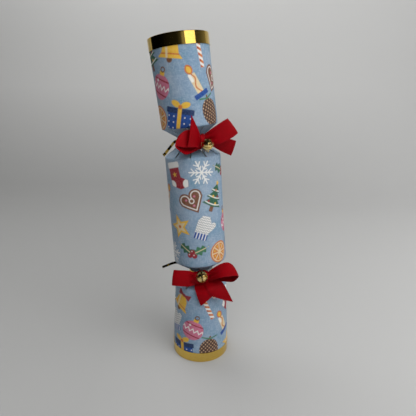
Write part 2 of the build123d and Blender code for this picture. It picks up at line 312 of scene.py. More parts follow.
def worked(tree, operation, first, second=0.5, clamp=False):
    """A sum, product, greater or comparison of two values, or the size of one."""
    links = {0: first, 1: second}
    return add_node(tree, "ShaderNodeMath", links, operation=operation, use_clamp=clamp).outputs[0]


def stretched(tree, place, scale):
    """A coordinate scaled along its axes."""
    return add_node(tree, "ShaderNodeMapping", {"Vector": place, "Scale": scale}).outputs[0]


def bump(tree, shader, height, strength, distance):
    """A bump from a height, in metres, on the shader's normal."""
    node = add_node(tree, "ShaderNodeBump", {"Height": height, "Strength": strength, "Distance": distance})
    tree.links.new(node.outputs["Normal"], shader.inputs["Normal"])


def object_place(tree):
    """The object's own coordinates."""
    return tree.nodes.new("ShaderNodeTexCoord").outputs["Object"]


def paper_ground(tree, place):
    """Brushed blue ground of the print: broad washes, teal blotches, and dry strokes along and across."""
    wash = noise(tree, place, 30.0, 5.0, 0.6)
    blotch = noise(tree, place, 85.0, 4.0, 0.6)
    strokes = noise(tree, stretched(tree, place, (1.0, 1.0, 0.3)), 900.0, 3.0, 0.65)
    crossing = noise(tree, stretched(tree, place, (0.35, 0.35, 1.0)), 900.0, 3.0, 0.65)
    brushed = worked(tree, "MAXIMUM", strokes, crossing)
    blue = ramp(tree, wash, [(0.34, (0.155, 0.262, 0.385)), (0.5, (0.212, 0.306, 0.42)),
                             (0.66, (0.285, 0.362, 0.455))])
    blotted = ramp(tree, blotch, [(0.48, (0, 0, 0)), (0.74, (0.75, 0.75, 0.75))])
    dry = ramp(tree, brushed, [(0.48, (0, 0, 0)), (0.74, (0.65, 0.65, 0.65))])
    teal = mixed(tree, blotted, blue, (0.10, 0.24, 0.34, 1))
    return mixed(tree, dry, teal, (0.39, 0.47, 0.57, 1)), brushed


def printed_finish():
    """Printed paper: painted motifs over a brushed blue ground, on uncoated wrapping paper."""
    finish, tree, shader = new_finish("printed_paper", Roughness=0.58, Specular_IOR_Level=0.35)
    place = object_place(tree)
    ground, grain = paper_ground(tree, place)
    ink = add_node(tree, "ShaderNodeAttribute", attribute_name="print_ink_and_drape_glow")
    dabs = noise(tree, place, 620.0, 3.0, 0.65)
    paint = mixed(tree, spread(tree, dabs, -0.2, 0.75), ink.outputs["Color"], black, "SOFT_LIGHT")
    cover = worked(tree, "MULTIPLY", ink.outputs["Alpha"], spread(tree, dabs, 0.82, 1.08), clamp=True)
    tree.links.new(mixed(tree, cover, ground, paint), shader.inputs["Base Color"])
    bump(tree, shader, grain, 0.12, 0.0002)
    return finish


def ribbon_finish():
    """Red satin-backed ribbon: ribs across its width, a woven selvedge at each edge and a soft sheen."""
    finish, tree, shader = new_finish("red_ribbon", Roughness=0.5, Specular_IOR_Level=0.06)
    along = add_node(tree, "ShaderNodeUVMap", uv_map="ribbon").outputs["UV"]
    split = add_node(tree, "ShaderNodeSeparateXYZ", {0: along})
    links = {"Vector": along, "Scale": 350.0, "Distortion": 0.6, "Detail": 1.0, "Detail Scale": 4.0}
    ribs = add_node(tree, "ShaderNodeTexWave", links, wave_type="BANDS", bands_direction="Y").outputs["Fac"]
    thread = noise(tree, along, 900.0, 3.0)
    cloud = noise(tree, along, 70.0, 3.0)
    red = ramp(tree, cloud, [(0.3, (0.215, 0.0004, 0.003)), (0.7, (0.295, 0.0008, 0.005))])
    woven = mixed(tree, spread(tree, ribs, 0.0, 0.32), red, (0.13, 0.001, 0.003, 1))
    selvedge = worked(tree, "GREATER_THAN", worked(tree, "ABSOLUTE", split.outputs["X"]), 0.0072)
    tree.links.new(mixed(tree, selvedge, woven, (0.23, 0.002, 0.006, 1)), shader.inputs["Base Color"])
    bump(tree, shader, worked(tree, "ADD", ribs, thread), 0.25, 0.00012)
    return finish


def foil_finish():
    """Gold foil on card: a mirror with faint rubbing and the drag of the rolling."""
    finish, tree, shader = new_finish("gold_foil", Metallic=1.0)
    place = object_place(tree)
    rub = noise(tree, stretched(tree, place, (1.0, 1.0, 6.0)), 260.0, 5.0, 0.6)
    gold = ramp(tree, rub, [(0.3, (0.77, 0.515, 0.105)), (0.7, (0.87, 0.61, 0.155))])
    tree.links.new(gold, shader.inputs["Base Color"])
    tree.links.new(spread(tree, rub, 0.03, 0.13), shader.inputs["Roughness"])
    bump(tree, shader, noise(tree, place, 120.0, 2.0), 0.03, 0.0003)
    return finish


def bell_finish():
    """Plated bell: bright brass with fine handling marks."""
    finish, tree, shader = new_finish("bell_brass", Metallic=1.0)
    marks = noise(tree, object_place(tree), 700.0, 6.0, 0.7)
    brass = ramp(tree, marks, [(0.35, (0.72, 0.52, 0.18)), (0.7, (0.88, 0.70, 0.32))])
    tree.links.new(brass, shader.inputs["Base Color"])
    tree.links.new(spread(tree, marks, 0.12, 0.34), shader.inputs["Roughness"])
    bump(tree, shader, marks, 0.06, 0.0002)
    return finish


def plain_finish(name, dark, light, scale, rough, metallic=0.0, stretch=(1.0, 1.0, 1.0), depth=0.0002):
    """A finish that clouds between two tones, with its grain as a fine bump."""
    finish, tree, shader = new_finish(name, Metallic=metallic)
    grain = noise(tree, stretched(tree, object_place(tree), stretch), scale, 6.0, 0.6)
    tree.links.new(ramp(tree, grain, [(0.3, dark), (0.7, light)]), shader.inputs["Base Color"])
    tree.links.new(spread(tree, grain, rough - 0.08, rough + 0.08), shader.inputs["Roughness"])
    bump(tree, shader, grain, 0.2, depth)
    return finish


printed_paper = printed_finish()
red_ribbon = ribbon_finish()
gold_foil = foil_finish()
bell_brass = bell_finish()
white_card = plain_finish("white_card", (0.62, 0.60, 0.55), (0.74, 0.73, 0.69), 420.0, 0.75)
grey_card = plain_finish("grey_card", (0.33, 0.31, 0.28), (0.46, 0.44, 0.40), 500.0, 0.8)
kraft_paper = plain_finish("kraft_paper", (0.36, 0.22, 0.11), (0.50, 0.33, 0.18), 380.0, 0.75,
                           stretch=(1, 1, 0.25))
dry_charge = plain_finish("dry_charge", (0.09, 0.085, 0.085), (0.17, 0.16, 0.15), 1400.0, 0.9, depth=0.0006)
beech_wood = plain_finish("beech_wood", (0.43, 0.25, 0.11), (0.62, 0.42, 0.22), 150.0, 0.45,
                          stretch=(1, 1, 0.12))
tissue_paper = plain_finish("tissue_paper", (0.70, 0.43, 0.05), (0.82, 0.58, 0.12), 260.0, 0.7)
white_paper = plain_finish("white_paper", (0.72, 0.72, 0.70), (0.83, 0.83, 0.81), 500.0, 0.7)
steel_wire = plain_finish("steel_wire", (0.42, 0.42, 0.42), (0.62, 0.62, 0.62), 900.0, 0.3, metallic=1.0)


# Painted motifs: signed distances in millimetres from a motif's middle, below nought inside
def disc(x, y, cx, cy, radius):
    """Distance to a disc: length from its middle less its radius."""
    return np.hypot(x - cx, y - cy) - radius


def slab(x, y, cx, cy, half_width, half_height, corner=0.6):
    """Distance to a rectangle with rounded corners."""
    ox, oy = np.abs(x - cx) - half_width + corner, np.abs(y - cy) - half_height + corner
    return np.hypot(np.maximum(ox, 0), np.maximum(oy, 0)) + np.minimum(np.maximum(ox, oy), 0) - corner


def stroke(x, y, ax, ay, bx, by, radius):
    """Distance to a brush stroke between two points: length from the line's nearest point less its radius."""
    dx, dy = bx - ax, by - ay
    t = np.clip(((x - ax) * dx + (y - ay) * dy) / (dx * dx + dy * dy), 0, 1)
    return np.hypot(x - ax - t * dx, y - ay - t * dy) - radius


def cut_out(x, y, corners):
    """Distance to a straight-edged shape: the nearest edge's, its sign from the count of edges crossed."""
    near = np.full(x.shape, np.inf)
    odd = np.zeros(x.shape, bool)
    for (ax, ay), (bx, by) in zip(corners, corners[1:] + corners[:1]):
        near = np.minimum(near, stroke(x, y, ax, ay, bx, by, 0))
        across = (ay > y) != (by > y)
        odd ^= across & (x < ax + (bx - ax) * (y - ay) / (by - ay + 1e-9))
    return np.where(odd, -near, near)


def star(x, y, outer, inner, cy=0.0):
    """Distance to a five-pointed star, its corners outer and inner by turns."""
    turns = np.arange(10)
    angles = np.pi * turns / 5 + np.pi / 2
    reach = np.where(turns % 2, inner, outer)
    return cut_out(x, y, list(zip(reach * np.cos(angles), cy + reach * np.sin(angles))))


ink_red = (0.34, 0.012, 0.022)
ink_pink = (0.62, 0.20, 0.30)
ink_white = (0.80, 0.79, 0.76)
ink_cream = (0.74, 0.62, 0.40)
ink_yellow = (0.78, 0.50, 0.05)
ink_orange = (0.62, 0.20, 0.03)
ink_brown = (0.22, 0.085, 0.03)
ink_dark = (0.045, 0.025, 0.018)
ink_blue = (0.010, 0.075, 0.33)
ink_navy = (0.012, 0.035, 0.13)
ink_green = (0.025, 0.13, 0.06)
ink_leaf = (0.06, 0.22, 0.10)
ink_grey = (0.36, 0.37, 0.39)


def fir_tree(x, y):
    """Three green tiers on a brown trunk, with snow, baubles and a star."""
    layers = [(slab(x, y, 0, -8.6, 1.7, 2.6), ink_brown)]
    for foot, half, rise in [(-6.0, 9.5, 8.5), (-0.5, 7.5, 7.5), (5.0, 5.0, 6.5)]:
        tier = cut_out(x, y, [(-half, foot), (0, foot - 1.2), (half, foot), (0, foot + rise)])
        snow = np.maximum(tier, np.abs(y - foot - 0.7 - 0.02 * x * x) - 0.45)
        layers += [(tier, ink_green), (snow, ink_white)]
    for cx, cy, colour in [(-4.4, -3.6, ink_red), (2.5, -4.0, ink_yellow), (-1.4, 1.0, ink_yellow),
                           (3.2, 1.6, ink_red), (0, 6.2, ink_orange)]:
        layers.append((disc(x, y, cx, cy, 0.95), colour))
    return layers + [(star(x, y, 2.5, 1.0, 12.0), ink_yellow)]


def bauble(x, y):
    """A pink ball with a white zigzag, a gilt cap and a ring."""
    ball = disc(x, y, 0, -1.5, 9.0)
    zigzag = np.abs(y + 1.5 - 1.5 * (2 * np.abs((x / 4.0) % 1 - 0.5) * 2 - 1)) - 0.75
    layers = [(ball, ink_pink)]
    for height in (3.6, -6.4):
        layers.append((np.maximum(ball, np.abs(y - height) - 0.5), ink_red))
    layers += [(np.maximum(ball, zigzag), ink_white), (disc(x, y, -3.4, 2.4, 1.0), ink_white)]
    ring = np.abs(disc(x, y, 0, 10.9, 1.6)) - 0.45
    return layers + [(slab(x, y, 0, 8.2, 2.2, 1.4), ink_yellow), (ring, ink_brown)]


def gift(x, y):
    """A royal blue box with a yellow ribbon and bow."""
    box_shape = slab(x, y, 0, -3.0, 9.5, 6.5)
    bows = [np.hypot((x - side * 3.6) / 1.5, y - 8.0 - side * 0.25 * x) - 2.3 for side in (1, -1)]
    dots = np.maximum(box_shape, np.hypot((x + 2.1) % 4.2 - 2.1, (y + 2.1) % 4.2 - 2.1) - 0.55)
    return [(box_shape, ink_blue), (dots, ink_white), (slab(x, y, 0, 4.2, 10.6, 2.0), ink_navy),
            (slab(x, y, 0, -1.6, 1.5, 7.8), ink_yellow), (np.minimum(*bows), ink_yellow),
            (disc(x, y, 0, 7.0, 1.5), ink_orange)]


def candy_cane(x, y):
    """A hooked stick in red and white stripes."""
    crook = np.abs(np.hypot(x - 0.5, y - 5.0) - 4.5)
    below = np.where(x > 2, np.hypot(x - 5.0, y - 5.0), np.abs(x + 4.0))
    cane = np.maximum(np.where(y > 5.0, crook, below) - 1.7, -12.5 - y)
    turn = np.where(y > 5.0, 4.5 * np.arctan2(x - 0.5, y - 5.0), y - 12.0)
    stripes = np.maximum(cane, np.abs((turn + 0.7 * x) % 4.2 - 2.1) - 1.05)
    shade = np.maximum(stripes + 0.35, x + 4.6 - 2 * (y > 5))
    return [(cane, ink_white), (stripes, ink_orange), (shade, ink_red)]


def gilt_star(x, y):
    """A five-pointed star with a paler middle."""
    return [(star(x, y, 10.5, 4.6), ink_yellow), (star(x, y, 6.6, 2.9), ink_cream),
            (disc(x, y, 0, 0, 1.3), ink_orange)]


def stocking(x, y):
    """A red stocking with a white cuff, heel and toe."""
    leg = cut_out(x, y, [(-4.5, 7.0), (4.0, 7.0), (4.2, -2.0), (9.5, -5.2), (8.8, -9.0), (3.0, -10.0),
                         (-4.2, -6.5)]) - 0.8
    toe, heel = disc(x, y, 9.6, -7.6, 4.0), disc(x, y, -4.2, -6.6, 3.6)
    return [(leg, ink_red), (np.maximum(leg, toe), ink_white), (np.maximum(leg, heel), ink_white),
            (star(x, y, 2.4, 1.0, 1.0), ink_yellow), (slab(x, y, -0.3, 8.4, 6.0, 2.3, 1.2), ink_white)]


def holly(x, y):
    """Two prickly leaves and three berries."""
    layers = []
    for side in (-1, 1):
        along, across = 0.86 * side * x + 0.5 * y, -0.5 * side * x + 0.86 * y
        leaf = np.maximum(np.hypot(along - 6.2, across + 7.0), np.hypot(along - 6.2, across - 7.0)) - 10.2
        leaf = leaf + 0.9 * np.cos(along * 1.5)
        vein = np.maximum(leaf, np.abs(across) - 0.35)
        layers += [(leaf, ink_leaf if side > 0 else ink_green), (vein, ink_cream)]
    for cx, cy in [(-1.9, -1.6), (1.9, -1.6), (0, 1.5)]:
        layers += [(disc(x, y, cx, cy, 2.1), ink_red), (disc(x, y, cx - 0.6, cy + 0.7, 0.5), ink_white)]
    return layers


def hand_bell(x, y):
    """A gilt bell with a clapper and a red bow."""
    dome = cut_out(x, y, [(-8.5, -6.0), (-6.0, -3.5), (-4.8, 3.0), (-2.2, 6.6), (2.2, 6.6), (4.8, 3.0),
                          (6.0, -3.5), (8.5, -6.0)]) - 0.5
    layers = [(disc(x, y, 0, -7.4, 2.1), ink_brown), (dome, ink_yellow),
              (np.maximum(dome, np.abs(y + 3.6) - 0.5), ink_orange),
              (np.maximum(dome, np.abs(x + 2.6 + 0.1 * y) - 0.8), ink_cream)]
    for side in (-1, 1):
        layers.append((cut_out(x, y, [(0, 7.4), (side * 6.0, 10.6), (side * 5.6, 5.6)]) - 0.4, ink_red))
    return layers + [(disc(x, y, 0, 7.5, 1.4), ink_red)]


def heart_biscuit(x, y):
    """A brown heart biscuit, iced round its edge."""
    ax = np.abs(x)
    heart = np.where(y > 3.0 - 0.2 * ax, np.hypot(ax - 4.6, y - 3.4) - 5.2, (0.74 * ax - 0.67 * y) - 6.6)
    heart = np.maximum(heart, -y - 10.5)
    layers = [(heart, ink_brown), (np.abs(heart + 1.7) - 0.42, ink_white)]
    for cx, cy in [(-3.6, 3.2), (3.6, 3.2), (0, -3.2)]:
        layers.append((disc(x, y, cx, cy, 0.9), ink_pink))
    return layers + [(np.abs(disc(x, y, 0, 0.8, 1.8)) - 0.4, ink_white)]


def candle(x, y):
    """A cream candle with drips, a flame and a blue holder."""
    wax = slab(x, y, 0, -1.2, 2.8, 7.4)
    wave = np.maximum(wax, np.abs(x - 1.2 * np.sin(y * 0.55)) - 0.5)
    flame = np.maximum(disc(x, y, 1.1, 9.6, 3.2), disc(x, y, -1.1, 9.6, 3.2))
    return [(wax, ink_cream), (wave, ink_orange), (slab(x, y, 0, -9.2, 6.2, 1.7, 0.8), ink_blue),
            (slab(x, y, -1.6, 4.0, 1.2, 3.0, 1.0), ink_white), (stroke(x, y, 0, 6.0, 0, 7.6, 0.35), ink_dark),
            (flame - 0.6, ink_orange), (flame + 0.5, ink_yellow)]


def mitten(x, y):
    """A pale knitted mitten with a banded cuff."""
    palm = cut_out(x, y, [(-5.0, -4.0), (4.2, -4.0), (4.6, 5.0), (2.4, 9.0), (-2.6, 9.0), (-5.0, 5.0)]) - 0.9
    hand = np.minimum(palm, stroke(x, y, 4.4, -0.5, 8.0, 3.8, 2.3))
    knit = np.maximum(hand, np.abs((y + 0.9 * np.abs((x / 2.2) % 1 - 0.5) * 2) % 1.9 - 0.95) - 0.32)
    cuff = slab(x, y, -0.4, -7.0, 5.4, 2.6, 1.0)
    bands = np.maximum(cuff, np.abs(x % 2.4 - 1.2) - 0.45)
    return [(hand, ink_white), (knit, ink_grey), (cuff, ink_blue), (bands, ink_white)]


def pine_cone(x, y):
    """A brown cone in rows of dark scales with pale tips, and two needles."""
    cone = np.hypot(x / 0.78, y) - 10.2
    u, v = (x + y * 0.85) / 3.0, (x - y * 0.85) / 3.0
    scale = np.hypot(u % 1 - 0.5, v % 1 - 0.5)
    layers = [(cone, ink_brown), (np.maximum(cone, 1.2 * (0.42 - scale) * 3), ink_dark),
              (np.maximum(cone, (scale - 0.17) * 3), ink_cream)]
    layers.append((stroke(x, y, 0, 10.0, 1.0, 12.2, 0.7), ink_brown))
    for tip in [(6.4, 11.8), (-5.6, 12.2)]:
        layers.append((stroke(x, y, 0.4, 10.4, *tip, 0.55), ink_leaf))
    return layers


def orange_slice(x, y):
    """A dried slice of orange: rind, pith and eight segments."""
    rim = disc(x, y, 0, 0, 9.2)
    far = np.hypot(x, y)
    eighth = 2 * np.pi / 8
    gap = np.abs(np.arctan2(y, x) / eighth % 1 - 0.5) * far * eighth
    segment = np.maximum(disc(x, y, 0, 0, 7.2), 0.55 - (far * eighth / 2 - gap))
    return [(rim, ink_orange), (rim + 1.1, ink_cream), (np.maximum(segment, 1.4 - far), ink_orange),
            (np.maximum(segment + 1.0, 2.4 - far), ink_yellow)]


def snowflake(x, y):
    """Six white arms, each with two pairs of side strokes."""
    arms = np.full(x.shape, np.inf)
    for k in range(6):
        c, s = math.cos(math.pi * k / 3), math.sin(math.pi * k / 3)
        along, across = c * x + s * y, np.abs(-s * x + c * y)
        for twig in [(0, 0, 9.6, 0, 0.55), (5.4, 0, 8.0, 2.6, 0.45), (2.8, 0, 4.6, 1.8, 0.45)]:
            arms = np.minimum(arms, stroke(along, across, *twig))
    return [(arms, ink_white)]


# The print: motifs in rows by height on a tube, each turned and shifted a little
motifs = [pine_cone, gift, mitten, gilt_star, candle, bauble, fir_tree, heart_biscuit, candy_cane, hand_bell,
          snowflake, stocking, orange_slice, holly]
handle_rows = [11.0, 37.0, 62.0]
barrel_rows = [13.0, 38.0, 63.0, 88.0]
barrel_first_row = len(handle_rows)
upper_first_row = barrel_first_row + len(barrel_rows)
column_count = 6
column_start = 0.3
column_sway = 0.10
row_sway = 1.6
motif_lean = 26.0
motif_scale = 1.16
motif_reach = 17.0
ink_edge = 0.5


def printed_ink(azimuth, height, rows, first_row):
    """Colour and cover of the print at an azimuth and a height on a tube.

    Motifs stand in staggered rows, six to a row, four on in the list for each row, counted on from the first
    row's number, and three on for each column. Each is turned a little and laid layer over layer.
    """
    shape = np.broadcast(azimuth, height).shape
    around = np.broadcast_to(azimuth, shape) * tube_radius
    height = np.broadcast_to(height, shape)
    colour = np.zeros(shape + (3,))
    cover = np.zeros(shape)
    girth = 2 * math.pi * tube_radius
    for row, middle_height in enumerate(rows, first_row):
        for column in range(column_count):
            motif = motifs[(4 * row + 3 * column) % len(motifs)]
            sway = math.sin(7.3 * row + 3.1 * column)
            middle = (column + 0.5 * (row % 2) + column_sway * sway + column_start) * girth / column_count
            dx = (around - middle + girth / 2) % girth - girth / 2
            dy = height - middle_height - row_sway * math.cos(5.1 * row + 4.7 * column)
            near = (np.abs(dx) < motif_reach) & (np.abs(dy) < motif_reach)
            lean = math.radians(motif_lean * sway)
            x = (math.cos(lean) * dx[near] + math.sin(lean) * dy[near]) / motif_scale
            y = (-math.sin(lean) * dx[near] + math.cos(lean) * dy[near]) / motif_scale
            tint, share = colour[near], cover[near]
            for distance, ink in motif(x, y):
                laid = np.clip(0.5 - distance * motif_scale / ink_edge, 0, 1)
                share = laid + share * (1 - laid)
                tint = tint + (np.array(ink) - tint) * (laid / np.maximum(share, 1e-6))[:, None]
            colour[near], cover[near] = tint, share
    return np.concatenate([colour, cover[..., None]], -1)


# Paper tubes
def paper_sleeve(body, spot, low, high, rows, first_row, side=1, flare=0.0):
    """A wrapped tube of printed paper: a radius by height, a little out of round, creased at its folds.

    A handle opens by its flare, from nothing at the crease to all of it at the foil band.
    """
    around = int(2 * math.pi * tube_radius / print_step)
    up = int((high - low) / print_step) + 1
    azimuth = np.linspace(-math.pi, math.pi, around, endpoint=False)[None, :]
    height = np.linspace(low, high, up)[:, None]
    opening = flare * np.clip((side * height - crease_height) / (handle_length - band_height), 0, 1)
    dents = 0.10 * np.sin(2 * azimuth + 0.03 * height) + 0.06 * np.sin(5 * azimuth - 0.05 * height)
    radius = tube_radius + opening + dents
    for fold in (low, high):
        if abs(fold) in (crease_height, crease_height + barrel_length):
            radius = radius - fold_depth * np.exp(-np.abs(height - fold) / fold_reach)
    points = placed(round_points(azimuth, radius, height), spot)
    row = np.arange(up)
    keep = row[(row % hidden_step == 0) | (row < rim_rows) | (row >= up - rim_rows)]
    skin, quads = sheet_faces(points, paper_wall, ring=True, keep=keep)
    ink = np.zeros((len(skin), 4))
    ink[:around * up] = printed_ink(azimuth, height - low, rows, first_row).reshape(-1, 4)
    piece = make_piece(f"{body}_paper", skin, quads, printed_paper, body, colours=ink)
    stands_for(f"{body}_sleeve")


rim_edge = rim_height - rim_gap
barrel_end = crease_height + barrel_length
paper_sleeve("lower_handle", lower_waist, -rim_edge, -crease_height, handle_rows, 0, -1, lower_flare)
paper_sleeve("barrel", barrel_foot, crease_height, barrel_end, barrel_rows, barrel_first_row)
paper_sleeve("upper_handle", upper_handle, crease_height, rim_edge, handle_rows, upper_first_row,
             flare=upper_flare)


# Neck strips
def neck_half(neck, part, spot, side):
    """Half a neck: slit strips that fold at the crease, run in flat and turn along the axis at the waist.

    Down a strip, radius and height follow a cubic curve; across it, the tube's round flattens into a facet.
    The slits start a little inside the crease and open towards the waist, and each strip lifts and puckers.
    """
    along = np.linspace(0, 1, strip_rows)[:, None]
    across = np.linspace(-1, 1, strip_columns)[None, :]
    weights = [(1 - along) ** 3, 3 * along * (1 - along) ** 2, 3 * along ** 2 * (1 - along), along ** 3]
    radius = sum(w * r for w, (r, _) in zip(weights, strip_path))
    height = sum(w * h for w, (_, h) in zip(weights, strip_path))
    flat = smooth_step(0.0, 0.35, along)
    half = math.pi / strip_count
    parts = []
    for strip in range(strip_count):
        middle = math.radians(strip_turn) + (2 * strip + 1) * half
        slit = slit_width * smooth_step(0.0, 0.06, along)
        slit = slit + slit_spread * smooth_step(0.2, 0.7, along) * (1 + 0.5 * math.sin(5 * strip))
        angle = across * (half - slit / radius / 2)
        facet = 1 - flat * (1 - math.cos(half) / np.cos(angle))
        pucker = strip_pucker * smooth_step(0.35, 0.9, along) * np.cos(1.5 * math.pi * across + strip)
        lift = strip_lift * math.sin(3.7 * strip) * np.sin(math.pi * along)
        points = round_points(middle + angle, radius * facet + pucker + lift, side * height)
        parts.append(sheet_faces(placed(points[::-side], spot), strip_wall))
    skin, quads = joined(parts)
    blank = np.zeros((len(skin), 4))
    piece = make_piece(f"{neck}_neck_{part}_paper", skin, quads, printed_paper, colours=blank)
    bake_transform(piece)
    stands_for(f"{neck}_neck_{part}_strips")


neck_half("lower", "handle", lower_waist, -1)
neck_half("lower", "barrel", barrel_foot, 1)
neck_half("upper", "barrel", upper_waist, -1)
neck_half("upper", "handle", upper_handle, 1)


# Foil bands at the two rims
def foil_band(which, spot, side, flare):
    """A foil band turned over a rim: a rounded U-section, outside to inside, carried round the axis."""
    outer = tube_radius + flare + band_proud
    inner = outer - band_depth
    low, high, bend = rim_height - band_height, rim_height, band_bend
    quarter = np.linspace(0, math.pi / 2, 6)
    section = [(outer, low), (outer, low + 0.3), (outer, high - 3 * bend)]
    section += [(outer - bend + bend * math.cos(a), high - bend + bend * math.sin(a)) for a in quarter]
    section += [(inner + bend - bend * math.sin(a), high - bend + bend * math.cos(a)) for a in quarter]
    section += [(inner, high - 3 * bend), (inner, high - band_height / 2)]
    section = np.array(section)
    azimuth = np.linspace(-math.pi, math.pi, band_columns, endpoint=False)[None, :]
    ripple = 0.05 * np.sin(3 * azimuth + 0.8) + 0.03 * np.sin(7 * azimuth)
    points = round_points(azimuth, section[:, :1] + ripple, side * section[:, 1:])
    skin, quads = sheet_faces(placed(points[::side], spot), foil_wall, ring=True)
    piece = make_piece(f"{which}_rim_foil", skin, quads, gold_foil, f"{which}_handle")
    stands_for(f"{which}_end_band")


foil_band("lower", lower_waist, -1, lower_flare)
foil_band("upper", upper_handle, 1, upper_flare)


# Ribbon bows
def middle_run(points):
    """Lengths along the middle of a grid from its first row, in metres."""
    middle = points[:, points.shape[1] // 2]
    return np.append(0, np.cumsum(np.linalg.norm(np.diff(middle, axis=0), axis=-1))) * MM


def ribbon_map(points):
    """UV map of a ribbon's top and underside: metres across and along the ribbon."""
    across = np.linspace(-0.5, 0.5, points.shape[1]) * ribbon_width * MM
    uv = np.stack(np.meshgrid(across, middle_run(points)), -1).reshape(-1, 2)
    return np.concatenate([uv, uv])


def edge_curve(corners, count):
    """A smooth edge: a cubic spline through its corners, straight on at its ends, read at even steps."""
    corners = np.array(corners, float)
    padded = np.concatenate([2 * corners[:1] - corners[1:2], corners, 2 * corners[-1:] - corners[-2:-1]])
    spans = len(corners) - 1
    t = np.linspace(0, spans, count)
    k = np.minimum(t.astype(int), spans - 1)
    f = (t - k)[:, None]
    p = [padded[k + i] for i in range(4)]
    return 0.5 * (2 * p[1] + (p[2] - p[0]) * f + (2 * p[0] - 5 * p[1] + 4 * p[2] - p[3]) * f ** 2
                  + (3 * p[1] - p[0] - 3 * p[2] + p[3]) * f ** 3)


def ruled(first, second, rows):
    """Ribbon ruled straight across between two smooth edges of (right, out, up) corners."""
    a = np.linspace(0, 1, ribbon_columns)[None, :, None]
    points = edge_curve(first, rows)[:, None, :] * (1 - a) + edge_curve(second, rows)[:, None, :] * a
    return points * np.array([1.0, -1.0, 1.0])


def loop_grid(first, second, spot):
    """A loop of ribbon ruled between its two edges, each a run out from the knot and back.

    Pleats stand where the knot holds the ribbon and fade a fifth of the way along; elsewhere it is crowned.
    """
    a = np.linspace(0, 1, ribbon_columns)[None, :]
    s = np.linspace(0, 1, loop_rows)[:, None]
    points = ruled(first, second, loop_rows)
    held = 1 - smooth_step(0.03, 0.2, np.minimum(s, 1 - s))
    raised = loop_pleat * held * np.cos(5 * math.pi * a) + loop_crown * (1 - held) * a * (1 - a)
    return placed(points + raised[..., None] * grid_normals(points), spot)


def tail_grid(left, right, spot):
    """A tail ruled between its two edges, with a crown across that grows from a third to all at its end."""
    a = np.linspace(0, 1, ribbon_columns)[None, :]
    points = ruled(left, right, tail_rows)
    points[..., 1] -= tail_crown * 4 * a * (1 - a) * np.linspace(0.3, 1, tail_rows)[:, None]
    return placed(points, spot)


def knot_grid(spot, heading, middle, lift, tall, deep, wide):
    """The knot: ribbon wound round the gathered middle on a flattened ring, pleated along its run."""
    turn = np.linspace(0, 2 * math.pi, knot_rows)[:, None] - math.pi / 2
    a = np.linspace(-1, 1, ribbon_columns)[None, :]
    pleats = knot_pleat * np.cos(3.2 * math.pi * a + 0.6 * np.sin(turn)) * (0.6 + 0.4 * np.sin(turn) ** 2)
    waist = 1 - 0.16 * a ** 2
    y = (deep / 2 * waist + pleats) * np.cos(turn)
    z = (tall / 2 * waist + pleats) * np.sin(turn)
    x = wide / 2 * a * (1 + 0.10 * np.cos(turn) ** 2) + 0 * turn
    stand = (turn_about(Y_AXIS, heading), np.array([middle, -knot_reach - lift, 0]))
    return placed(placed(np.stack([x, y, z], -1), stand), spot)


def tie_grid(spot, path, heading, twist, swell):
    """A foil tie's free end: a flat strip along a smooth path.

    Its width leaves the waist level, turns by the twist within a third of its length and swells to its end.
    """
    middle = edge_curve(path, tie_rows)
    run = np.gradient(middle, axis=0)
    run /= np.linalg.norm(run, axis=-1, keepdims=True)
    upright = np.cross(run, np.array([0.0, 1.0, 0.0]))
    level = np.cross(upright, run)
    t = np.linspace(0, 1, tie_rows)[:, None]
    turn = smooth_step(0.05, 0.35, t) * math.radians(twist)
    side = level * np.cos(turn) + upright * np.sin(turn)
    across = np.linspace(-0.5, 0.5, tie_columns)[None, :, None] * (tie_width + swell * t ** 6)[:, None, :]
    crinkle = tie_crinkle * np.sin(40 * t)[:, None, :] * np.cross(side, run)[:, None, :]
    points = middle[:, None, :] + across * side[:, None, :] + crinkle
    return placed(placed(points, (turn_about(Z_AXIS, heading), np.zeros(3))), spot)


def ring_grid(spot):
    """The part of a foil tie wound round the waist: a plain band, a little dented."""
    azimuth = np.linspace(-math.pi, math.pi, ring_columns, endpoint=False)[None, :]
    height = np.linspace(-tie_width / 2, tie_width / 2, tie_columns)[:, None]
    radius = waist_radius + tie_gap + 0.12 * np.sin(6 * azimuth) + 0.08 * np.cos(3 * height)
    return placed(round_points(azimuth, radius, height), spot)


def ribbon_object(name, grids, node, body):
    """Ribbon grids as one piece on a bow."""
    skin, quads = joined([sheet_faces(grid, ribbon_wall) for grid in grids])
    uv = np.concatenate([ribbon_map(grid) for grid in grids])
    piece = make_piece(name, skin, quads, red_ribbon, body, uv=uv)
    stands_for(node)


def ribbon_bow(which, spot, loops, tails, knot):
    """A bow's three pieces of ribbon: its loops, its tails and its knot."""
    grids = {"loops": [loop_grid(*edges, spot) for edges in loops],
             "tails": [tail_grid(*edges, spot) for edges in tails],
             "knot": [knot_grid(spot, **knot)]}
    for part, grid in grids.items():
        ribbon_object(f"{which}_ribbon_{part}", grid, f"{which}_bow_{part}", f"{which}_bow")


def foil_tie(which, spot, **free_end):
    """A foil tie: the band round the waist and its one free end."""
    points, quads = joined([sheet_faces(ring_grid(spot), tie_wall, ring=True),
                            sheet_faces(tie_grid(spot, **free_end), tie_wall)])
    piece = make_piece(f"{which}_foil_tie", points, quads, gold_foil, f"{which}_bow")
    stands_for(f"{which}_twist_tie")


